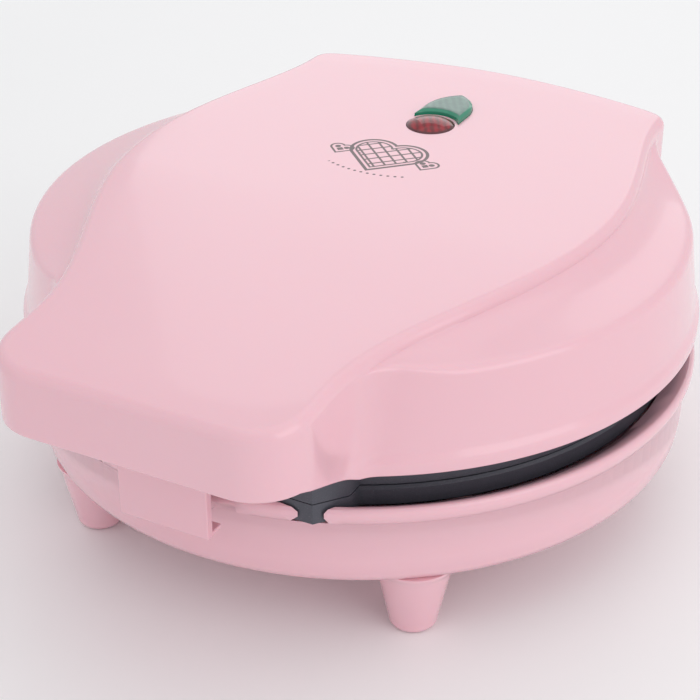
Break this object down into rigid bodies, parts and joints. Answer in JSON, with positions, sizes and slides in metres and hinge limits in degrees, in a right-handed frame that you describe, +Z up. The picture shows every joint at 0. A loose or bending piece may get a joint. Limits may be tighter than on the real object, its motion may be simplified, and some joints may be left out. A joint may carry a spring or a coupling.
{
  "type": "waffle maker",
  "caption": "Round electric waffle maker with a smooth hinged lid, a broad front handle, a sprung latch, dark non-stick heart plates, two lamp lenses and conical feet.",
  "frame": {"origin": "on the resting surface, below the middle of the footprint; the axis of the round body is at y = 0.0057", "axes": "+Z up, the handle faces -Y, the hinge is at +Y, +X to the right seen from the handle side"},
  "size_m": [0.22, 0.2646, 0.1064],
  "materials": {
    "pink_shell": "glossy moulded plastic",
    "nonstick_plate": "dark non-stick coating, satin",
    "bright_steel": "zinc-plated",
    "element_sheath": "heat-darkened sheath",
    "reflector_sheet": "rolled sheet",
    "black_moulding": "matt",
    "ceramic": "unglazed",
    "lead_sleeve": "woven sleeve",
    "red_lens": "clear tinted",
    "green_lens": "clear tinted",
    "lamp_bulb": "clear",
    "lamp_board": "laminate"
  },
  "bodies": {
    "base": {"base_housing": "pink_shell", "foot_front_left": "pink_shell", "foot_front_right": "pink_shell", "foot_rear_left": "pink_shell", "foot_rear_right": "pink_shell", "foot_screws": "bright_steel", "cord_gland": "black_moulding", "lower_plate": "nonstick_plate", "lower_plate_screws": "bright_steel", "lower_element": "element_sheath", "lower_element_clamps": "bright_steel", "lower_clamp_screws": "bright_steel", "lower_reflector": "reflector_sheet", "lower_reflector_screws": "bright_steel", "terminal_block": "ceramic", "base_leads": "lead_sleeve", "hinge_pin": "bright_steel"},
    "lid": {"lid_cover": "pink_shell", "handle_cover": "pink_shell", "handle_cover_screws": "bright_steel", "upper_plate": "nonstick_plate", "upper_plate_screws": "bright_steel", "upper_element": "element_sheath", "upper_element_clamps": "bright_steel", "upper_clamp_screws": "bright_steel", "upper_reflector": "reflector_sheet", "upper_reflector_screws": "bright_steel", "thermostat": "ceramic", "thermal_fuse": "ceramic", "power_lens": "red_lens", "ready_lens": "green_lens", "power_lamp": "lamp_bulb", "ready_lamp": "lamp_bulb", "lamp_board": "lamp_board", "lid_leads": "lead_sleeve", "latch_pin": "bright_steel", "latch_spring": "bright_steel"},
    "latch": {"latch": "pink_shell"}
  },
  "joints": [
    {"name": "lid_hinge", "type": "hinge", "parent": "base", "child": "lid", "pos_m": [0, 0.1237, 0.062], "axis": [-1, 0, 0], "range_deg": [0, 100]},
    {"name": "latch_pivot", "type": "hinge", "parent": "lid", "child": "latch", "pos_m": [0, -0.1163, 0.079], "axis": [-1, 0, 0], "range_deg": [0, 20], "stiffness_Nm_per_rad": 0.06}
  ]
}
